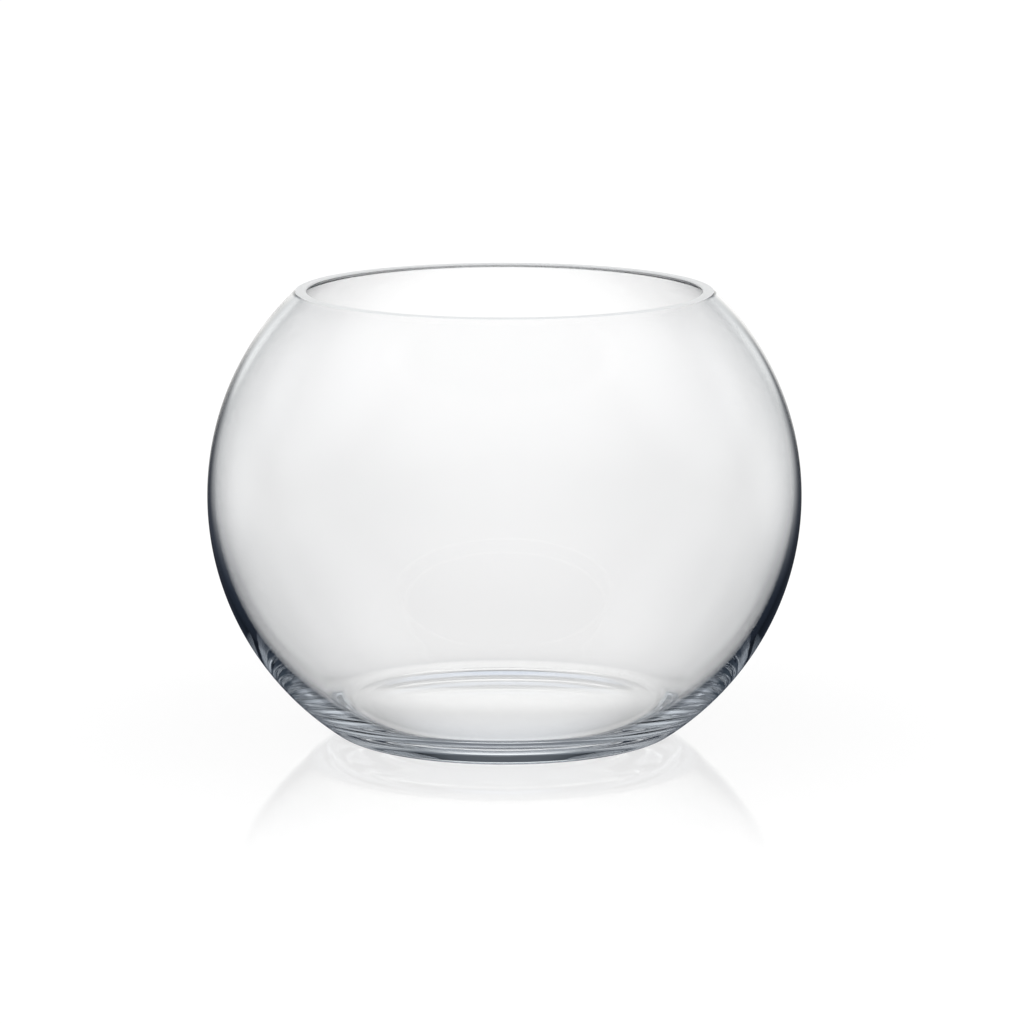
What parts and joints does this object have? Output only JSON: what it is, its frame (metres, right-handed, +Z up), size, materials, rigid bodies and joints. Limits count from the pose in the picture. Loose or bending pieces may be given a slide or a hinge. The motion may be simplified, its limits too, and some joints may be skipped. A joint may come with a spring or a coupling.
{
  "type": "rose bowl vase",
  "caption": "Clear blown-glass rose bowl: near-round bowl with a wide ground mouth, thin shoulder, thick heel and heavy floor on a shallow hollow foot.",
  "frame": {"origin": "centre of the standing ring, on the table", "axes": "+Z up along the bowl's axis of turning; X and Y are any two level directions, because the bowl is round"},
  "size_m": [0.2, 0.2, 0.1508],
  "materials": {
    "clear_glass": "fire-polished, clear and colourless with a faint cool tint; the lip is ground flat"
  },
  "bodies": {
    "root": {"glass_bowl": "clear_glass"}
  },
  "joints": []
}
